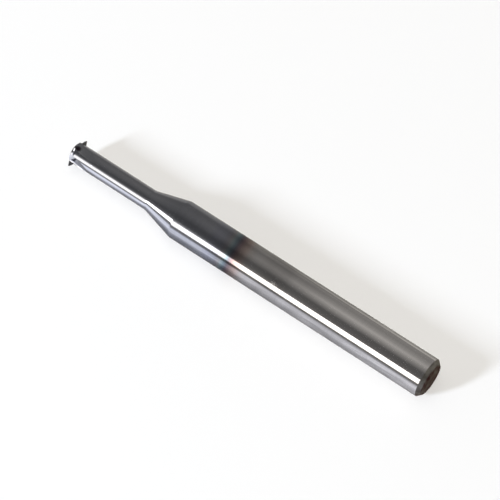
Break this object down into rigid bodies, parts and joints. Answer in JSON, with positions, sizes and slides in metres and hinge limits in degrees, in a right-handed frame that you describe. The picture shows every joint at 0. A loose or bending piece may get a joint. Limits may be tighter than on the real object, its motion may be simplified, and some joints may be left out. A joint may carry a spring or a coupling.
{
  "type": "thread mill",
  "caption": "Solid carbide thread mill with a plain cylindrical shank, a cone, a slim neck and a single row of V teeth between helical flutes at the tip.",
  "frame": {"origin": "centre of the flat end of the shank, where the tool stands upright", "axes": "+Z along the tool's axis from the shank's end to the cutting head; +X through the first cutting edge at the height of the crests"},
  "size_m": [0.006, 0.006, 0.062],
  "materials": {
    "carbide": "finely ground carbide, bare on the rear of the shank and with a dark grey hard coating from the front of the shank to the tip"
  },
  "bodies": {
    "root": {"thread_mill": "carbide"}
  },
  "joints": []
}
